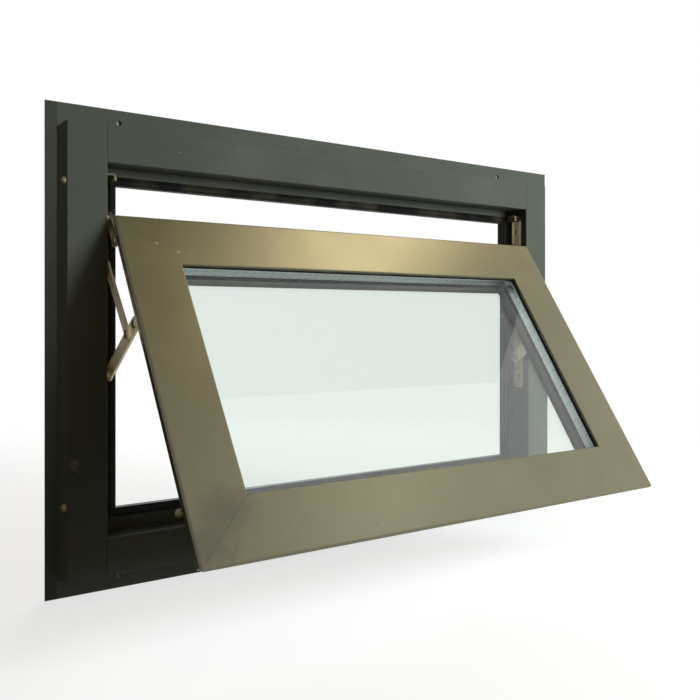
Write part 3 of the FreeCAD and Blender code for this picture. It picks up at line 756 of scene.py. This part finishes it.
class WINDOW_OT_screws(Operator):
    """Make the pan-head screws of the tracks, the sash bars, the handle and its keeper"""
    bl_idname = "window.screws"
    bl_label = "Make the screws"

    def execute(self, context):
        size = context.scene.window_fixings
        worn = tuple(0.45 * c for c in context.scene.window_finish.steel)
        steel = rolled_steel("screw_steel", worn, (0, 0, 1))
        placed = []
        for way, side in zip((1, -1), SIDES):
            placed += self.track_screws(side, way) + self.sash_bar_screws(side, way)
        placed += self.handle_screws() + self.keeper_screws()
        seats, axes = (np.array(column, float) for column in zip(*placed))
        radius, height, rim = size.screw_radius, size.screw_height, 0.3 * MM
        curve = arc((0, rim), (radius, height - rim), 0, 60, 6)
        share = np.linspace(0.46, 0.03, 9)
        crown = np.stack([radius * share, rim + (height - rim) * np.sqrt(1 - share ** 2)], -1)
        section = np.concatenate([[[radius, 0]], curve, crown])

        def cross(x, y):
            """Depth of a cross recess: full inside two slots, with soft walls and ends."""
            reach, half = 0.55 * radius, size.recess_width / 2
            short = np.minimum(np.abs(x), np.abs(y))
            long = np.maximum(np.abs(x), np.abs(y))
            wall = np.clip((half - short) / (0.3 * half), 0, 1)
            end = np.clip((reach - long) / (0.2 * reach), 0, 1)
            return size.recess_depth * wall * end

        made = heads(section, seats, axes, size.round_steps, cross)
        piece("pan_head_screws", *made, steel, "stay_steel")
        return {"FINISHED"}

    def track_screws(self, side, way):
        """Seats and axes on the floor of a stay's track, one near each end and one between."""
        floor_thickness = 1.5 * MM
        low_inset, middle_inset, top_inset = 17 * MM, 87 * MM, 16 * MM
        low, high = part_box(side + "_stay_track")
        floor = (low.x if way > 0 else high.x) + way * floor_thickness
        heights = (low.z + low_inset, low.z + middle_inset, high.z - top_inset)
        return [((floor, (low.y + high.y) / 2, z), (way, 0, 0)) for z in heights]

    def sash_bar_screws(self, side, way):
        """Seats and axes along the bar that carries the sash, sunk into its outer side."""
        shares, sink = (0.38, 0.58, 0.96), 0.9 * MM
        bar = points_of(side + "_stay_sash_bar")
        axis = long_axis(side + "_stay_sash_bar")
        axis = axis * np.sign(-axis[2])
        run = bar @ axis
        middle = (bar.min(0) + bar.max(0)) / 2
        outer = bar[:, 0].min() + sink if way > 0 else bar[:, 0].max() - sink
        along = [run.min() + share * np.ptp(run) - middle @ axis for share in shares]
        return [((outer, *(middle + axis * distance)[1:]), (-way, 0, 0)) for distance in along]

    def handle_screws(self):
        """Seats and axes on the handle's base, one towards each end."""
        share, base_height = 0.7, 9 * MM
        first, last = SASH.span("handle_base")
        top = base_height + SASH.span("sash_bottom_rail")[1][2]
        middle = (first[1] + last[1]) / 2
        return [(SASH.place(share * x, middle, top), SASH.inward) for x in (first[0], last[0])]

    def keeper_screws(self):
        """Seats and axes on the keeper's foot, one towards each end."""
        share, inset = 0.68, 3.3 * MM
        low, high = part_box("handle_keeper")
        return [((share * x, low.y + inset, high.z), (0, 0, 1)) for x in (low.x, high.x)]


class WINDOW_OT_stage(Operator):
    """Set the camera, the lamps, the white surround, the pale floor, the dark cards and the wall's spots"""
    bl_idname = "window.stage"
    bl_label = "Set the stage"

    def execute(self, context):
        scene, stage = context.scene, context.scene.window_stage
        scene.view_settings.view_transform = "Standard"
        self.camera(scene, stage)
        self.lamps(scene, stage)
        self.surround(scene, stage)
        self.floor(scene, stage)
        self.cards(scene)
        self.wall_spots(scene)
        return {"FINISHED"}

    def camera(self, scene, stage):
        """Level camera at the photograph's place."""
        data = bpy.data.cameras.new("camera")
        data.lens = stage.lens
        data.sensor_width = 36.0
        data.shift_x, data.shift_y = stage.shift
        data.clip_start = 0.01
        eye = bpy.data.objects.new("camera", data)
        eye.location = stage.camera
        eye.rotation_euler = (math.pi / 2, 0, -stage.heading)
        scene.collection.objects.link(eye)
        scene.camera = eye

    def lamps(self, scene, stage):
        """Soft key lamp on the right, two that the rails mirror, one at the left end and one at the back.

        The key and fin lamps stay out of reflections, so that the panes stay clear, and the two that the
        rails mirror only add gloss. The warm lamp is a long strip that faces straight down, and the others
        face the window. The fin lamp lights the left fin and the bumpers alone, and the key lamp leaves that
        fin out.
        """
        aim = Vector((0.0, -0.08, 0.28))
        lamps = (
            ("key_lamp", (1.16, -1.32, 0.68), aim, (1.00, 1.00), stage.key_power, "#F2FDFB"),
            ("warm_lamp", (0.634, -0.309, 1.233), None, (0.60, 0.10), stage.warm_power, "#FFE8B2"),
            ("rail_lamp", (0.70, -0.93, 0.975), aim, (0.14, 0.14), stage.rail_power, "#FDF6D2"),
            ("fin_lamp", (-0.40, -0.20, 0.50), aim, (0.10, 0.10), stage.fin_power, "#F6FBEE"),
            ("back_lamp", (0.90, 1.60, 1.10), aim, (1.20, 1.20), stage.back_power, "#F6F8FF"),
        )
        matt_only, gloss_only = ("key_lamp", "fin_lamp"), ("warm_lamp", "rail_lamp")
        linked = {
            "fin_lamp": ("INCLUDE", ("left_fin", "sill_bumpers")),
            "key_lamp": ("EXCLUDE", ("left_fin",)),
        }
        for name, place, target, size, power, colour in lamps:
            data = bpy.data.lights.new(name, "AREA")
            data.energy = power
            data.shape = "ELLIPSE"
            data.size, data.size_y = size
            data.color = linear(colour)
            lamp = bpy.data.objects.new(name, data)
            lamp.location = place
            if target:
                lamp.rotation_euler = (target - Vector(place)).to_track_quat("-Z", "Y").to_euler()
            lamp.visible_camera = False
            lamp.visible_transmission = False
            lamp.visible_diffuse = name not in gloss_only
            lamp.visible_glossy = name not in matt_only
            if name in linked:
                state, nodes = linked[name]
                lit = bpy.data.collections.new(name + "_links")
                for i, node in enumerate(nodes):
                    lit.objects.link(NODES[node])
                    lit.collection_objects[i].light_linking.link_state = state
                lamp.light_linking.receiver_collection = lit
            scene.collection.objects.link(lamp)

    def surround(self, scene, stage):
        """World that is white to sight, in gloss and through glass, and an even light elsewhere."""
        world = bpy.data.worlds.new("studio")
        world.use_nodes = True
        tree = world.node_tree
        tree.nodes.clear()
        seen = in_sight(tree)
        even = add(tree, "Background", {"Color": opaque(linear("#FFD88A")), "Strength": stage.ambient})
        white = add(tree, "Background", {"Color": (1, 1, 1, 1), "Strength": 1.0})
        both = add(tree, "MixShader", {0: seen, 1: even.outputs[0], 2: white.outputs[0]})
        add(tree, "OutputWorld", {"Surface": both.outputs[0]})
        scene.world = world

    def floor(self, scene, stage):
        """Pale round floor under the window that fades into the white surround towards its rim.

        It throws little light back, so that the lower frame stays in shade, and it is clear from below.
        """
        steps, rings = 96, 12
        gap, innermost = 0.5 * MM, 0.08
        angle = np.linspace(0, 2 * math.pi, steps, endpoint=False)
        radius = np.linspace(innermost, 1, rings) * stage.floor_radius
        level = CAD_BOX[0][2] - gap
        x, y = radius[:, None] * np.cos(angle), radius[:, None] * np.sin(angle)
        points = np.stack([x, y, np.full_like(x, level)], -1).reshape(-1, 3)
        index = np.arange(rings * steps).reshape(rings, steps)
        turned = np.roll(index, -1, 1)
        quads = np.stack([index[:-1], index[1:], turned[1:], turned[:-1]], -1).reshape(-1, 4).tolist()
        mesh = bpy.data.meshes.new("floor")
        mesh.from_pydata(points.tolist(), [], quads + [index[0].tolist()])
        material, tree = new_material("pale_floor")
        place = add(tree, "TexCoord").outputs["Object"]
        far = add(tree, "VectorMath", {0: place, 1: (1, 1, 0)}, operation="MULTIPLY").outputs[0]
        far = add(tree, "VectorMath", {0: far}, operation="LENGTH").outputs["Value"]
        fade = {"Value": far, "From Min": 0.45 * stage.floor_radius, "From Max": 0.95 * stage.floor_radius}
        fade = add(tree, "MapRange", fade, interpolation_type="SMOOTHSTEP").outputs["Result"]
        below = add(tree, "NewGeometry").outputs["Backfacing"]
        fade = add(tree, "Math", {0: fade, 1: below}, operation="MAXIMUM").outputs[0]
        seen = in_sight(tree)
        glow = add(tree, "Emission", {"Color": (1, 1, 1, 1), "Strength": 0.72})
        matt = add(tree, "BsdfDiffuse", {"Color": opaque(linear("#ADADAD"))})
        dim = add(tree, "BsdfDiffuse", {"Color": opaque(linear("#615D55"))})
        bright = add(tree, "AddShader", {0: matt.outputs[0], 1: glow.outputs[0]})
        plain = add(tree, "MixShader", {0: seen, 1: dim.outputs[0], 2: bright.outputs[0]})
        clear = add(tree, "BsdfTransparent")
        both = add(tree, "MixShader", {0: fade, 1: plain.outputs[0], 2: clear.outputs[0]})
        show(tree, both.outputs[0])
        mesh.materials.append(material)
        ground = bpy.data.objects.new("floor", mesh)
        scene.collection.objects.link(ground)

    def cards(self, scene):
        """Dark cards that show only in gloss, as the unlit side of a room does.

        One is overhead, one stands beyond the window's left end and one lies on the floor there. A card's
        corners are its middle plus and minus its two half sides.
        """
        ground = CAD_BOX[0][2] + 2 * MM
        cards = (
            ("ceiling_card", (0.60, -0.15, 2.00), (1.60, 0, 0), (0, 1.00, 0)),
            ("side_card", (-1.05, 0.70, 0.45), (0.65, 0, 0), (0, 0, 0.55)),
            ("low_card", (-1.00, 0.20, ground), (0.62, 0, 0), (0, 0.60, 0)),
        )
        material, tree = new_material("dark_card")
        show(tree, add(tree, "BsdfDiffuse", {"Color": opaque(linear("#2B271F"))}).outputs[0])
        signs = np.array([(-1, -1), (1, -1), (1, 1), (-1, 1)])
        for name, middle, *half_sides in cards:
            corners = np.array(middle) + signs @ np.array(half_sides)
            mesh = bpy.data.meshes.new(name)
            mesh.from_pydata(corners.tolist(), [], [(0, 1, 2, 3)])
            mesh.materials.append(material)
            card = bpy.data.objects.new(name, mesh)
            for ray in ("camera", "diffuse", "transmission", "shadow"):
                setattr(card, "visible_" + ray, False)
            scene.collection.objects.link(card)

    def wall_spots(self, scene):
        """Dim round spots behind the nail holes, where the wall would be, so that no white shines through.

        They show only to the eye, and from behind they are clear.
        """
        steps = 24
        radius, gap = 5 * MM, 0.3 * MM
        angle = np.linspace(0, 2 * math.pi, steps, endpoint=False)
        rim = radius * np.stack([np.cos(angle), np.zeros(steps), np.sin(angle)], -1)
        points, faces = [], []
        for mount in frame["record"]["mounts"]:
            if mount["kind"] != "bolt_pattern":
                continue
            for side in (-0.5, 0.5):
                hole = np.array(mount["pos_m"]) + (side * mount["dims"]["spacing_x_mm"] * MM, gap, 0)
                faces.append(list(range(len(points), len(points) + steps)))
                points.extend((hole + rim).tolist())
        mesh = bpy.data.meshes.new("wall_spots")
        mesh.from_pydata(points, [], faces)
        material, tree = new_material("dim_wall")
        matt = add(tree, "BsdfDiffuse", {"Color": opaque(linear("#A09A8C"))})
        clear = add(tree, "BsdfTransparent")
        behind = add(tree, "NewGeometry").outputs["Backfacing"]
        both = add(tree, "MixShader", {0: behind, 1: matt.outputs[0], 2: clear.outputs[0]})
        show(tree, both.outputs[0])
        mesh.materials.append(material)
        spots = bpy.data.objects.new("wall_spots", mesh)
        for ray in ("diffuse", "glossy", "transmission", "shadow"):
            setattr(spots, "visible_" + ray, False)
        scene.collection.objects.link(spots)


OPERATORS = (
    WINDOW_OT_frame_coat, WINDOW_OT_sash_coat, WINDOW_OT_panes, WINDOW_OT_gaskets, WINDOW_OT_spacer,
    WINDOW_OT_stays, WINDOW_OT_nylon, WINDOW_OT_handle, WINDOW_OT_screws, WINDOW_OT_stage,
)


class WINDOW_PT_dresser(Panel):
    """Sidebar panel with the window's settings and its operators in order"""
    bl_label = "Awning window"
    bl_idname = "WINDOW_PT_dresser"
    bl_space_type = "VIEW_3D"
    bl_region_type = "UI"
    bl_category = "Window"

    def draw(self, context):
        for group in (context.scene.window_finish, context.scene.window_fixings, context.scene.window_stage):
            box = self.layout.box()
            for name in group.__annotations__:
                box.prop(group, name)
        for operator in OPERATORS:
            self.layout.operator(operator.bl_idname)


SETTINGS = {
    "window_finish": WindowFinishSettings,
    "window_fixings": WindowFixingSettings,
    "window_stage": WindowStageSettings,
}


def register():
    for group in (*SETTINGS.values(), *OPERATORS, WINDOW_PT_dresser):
        bpy.utils.register_class(group)
    for name, group in SETTINGS.items():
        setattr(bpy.types.Scene, name, PointerProperty(type=group))


def unregister():
    for name in SETTINGS:
        delattr(bpy.types.Scene, name)
    for group in reversed((*SETTINGS.values(), *OPERATORS, WINDOW_PT_dresser)):
        bpy.utils.unregister_class(group)


def main():
    register()
    for operator in OPERATORS:
        getattr(bpy.ops.window, operator.bl_idname.split(".")[1])()


if __name__ == "__main__":
    main()
